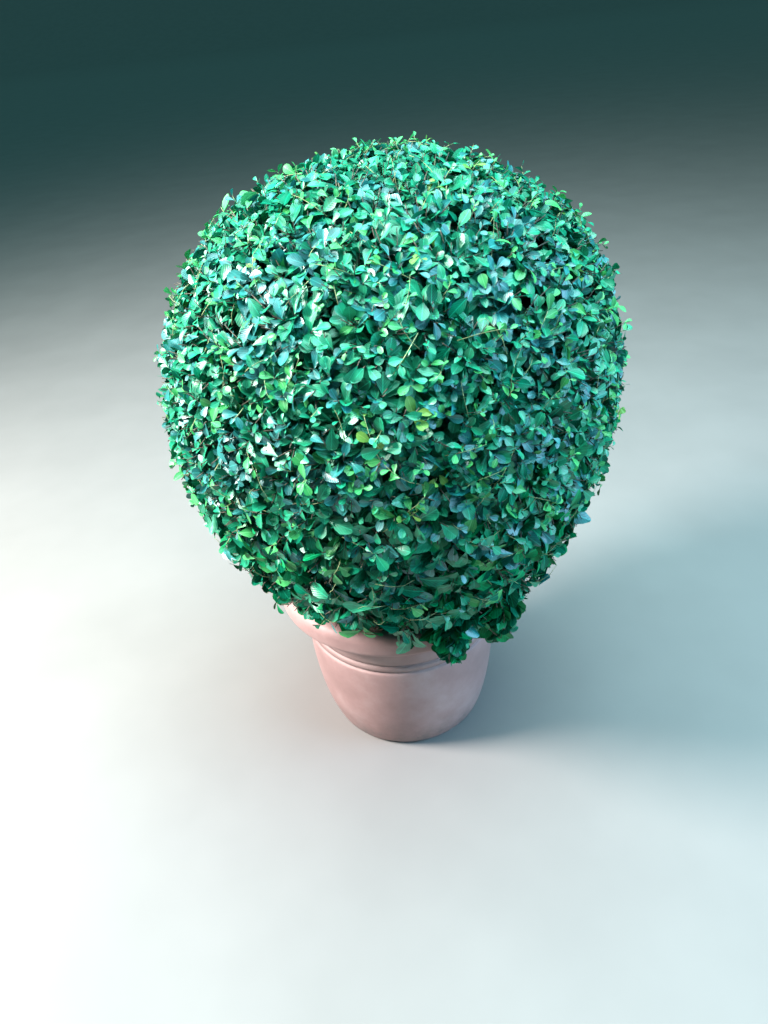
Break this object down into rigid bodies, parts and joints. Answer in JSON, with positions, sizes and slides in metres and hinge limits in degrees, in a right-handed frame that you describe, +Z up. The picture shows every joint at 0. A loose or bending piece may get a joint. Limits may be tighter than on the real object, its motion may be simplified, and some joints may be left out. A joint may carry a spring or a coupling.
{
  "type": "clipped ball shrub in a round pot",
  "caption": "Evergreen shrub clipped to a dense ball, standing in a round terracotta-coloured pot with a thick rolled rim.",
  "frame": {"origin": "centre of the pot's flat underside", "axes": "+Z up along the pot's axis, -Y towards the front, where shoots hang over the rim"},
  "size_m": [0.8143, 0.8119, 1.1875],
  "materials": {
    "pot": "satin moulded terracotta-coloured plastic, faintly blotched and scuffed",
    "soil": "moist crumbly potting mix with bark pieces",
    "bark": "grey-brown bark, lightly furrowed",
    "foliage": "small glossy deep green leaves with paler fresh tips"
  },
  "bodies": {
    "root": {"pot": "pot", "soil": "soil", "trunk": "bark", "bough_leader": "bark", "bough_high_1": "bark", "bough_high_2": "bark", "bough_high_3": "bark", "bough_low_1": "bark", "bough_low_2": "bark", "bough_low_3": "bark", "crown": "foliage"}
  },
  "joints": []
}
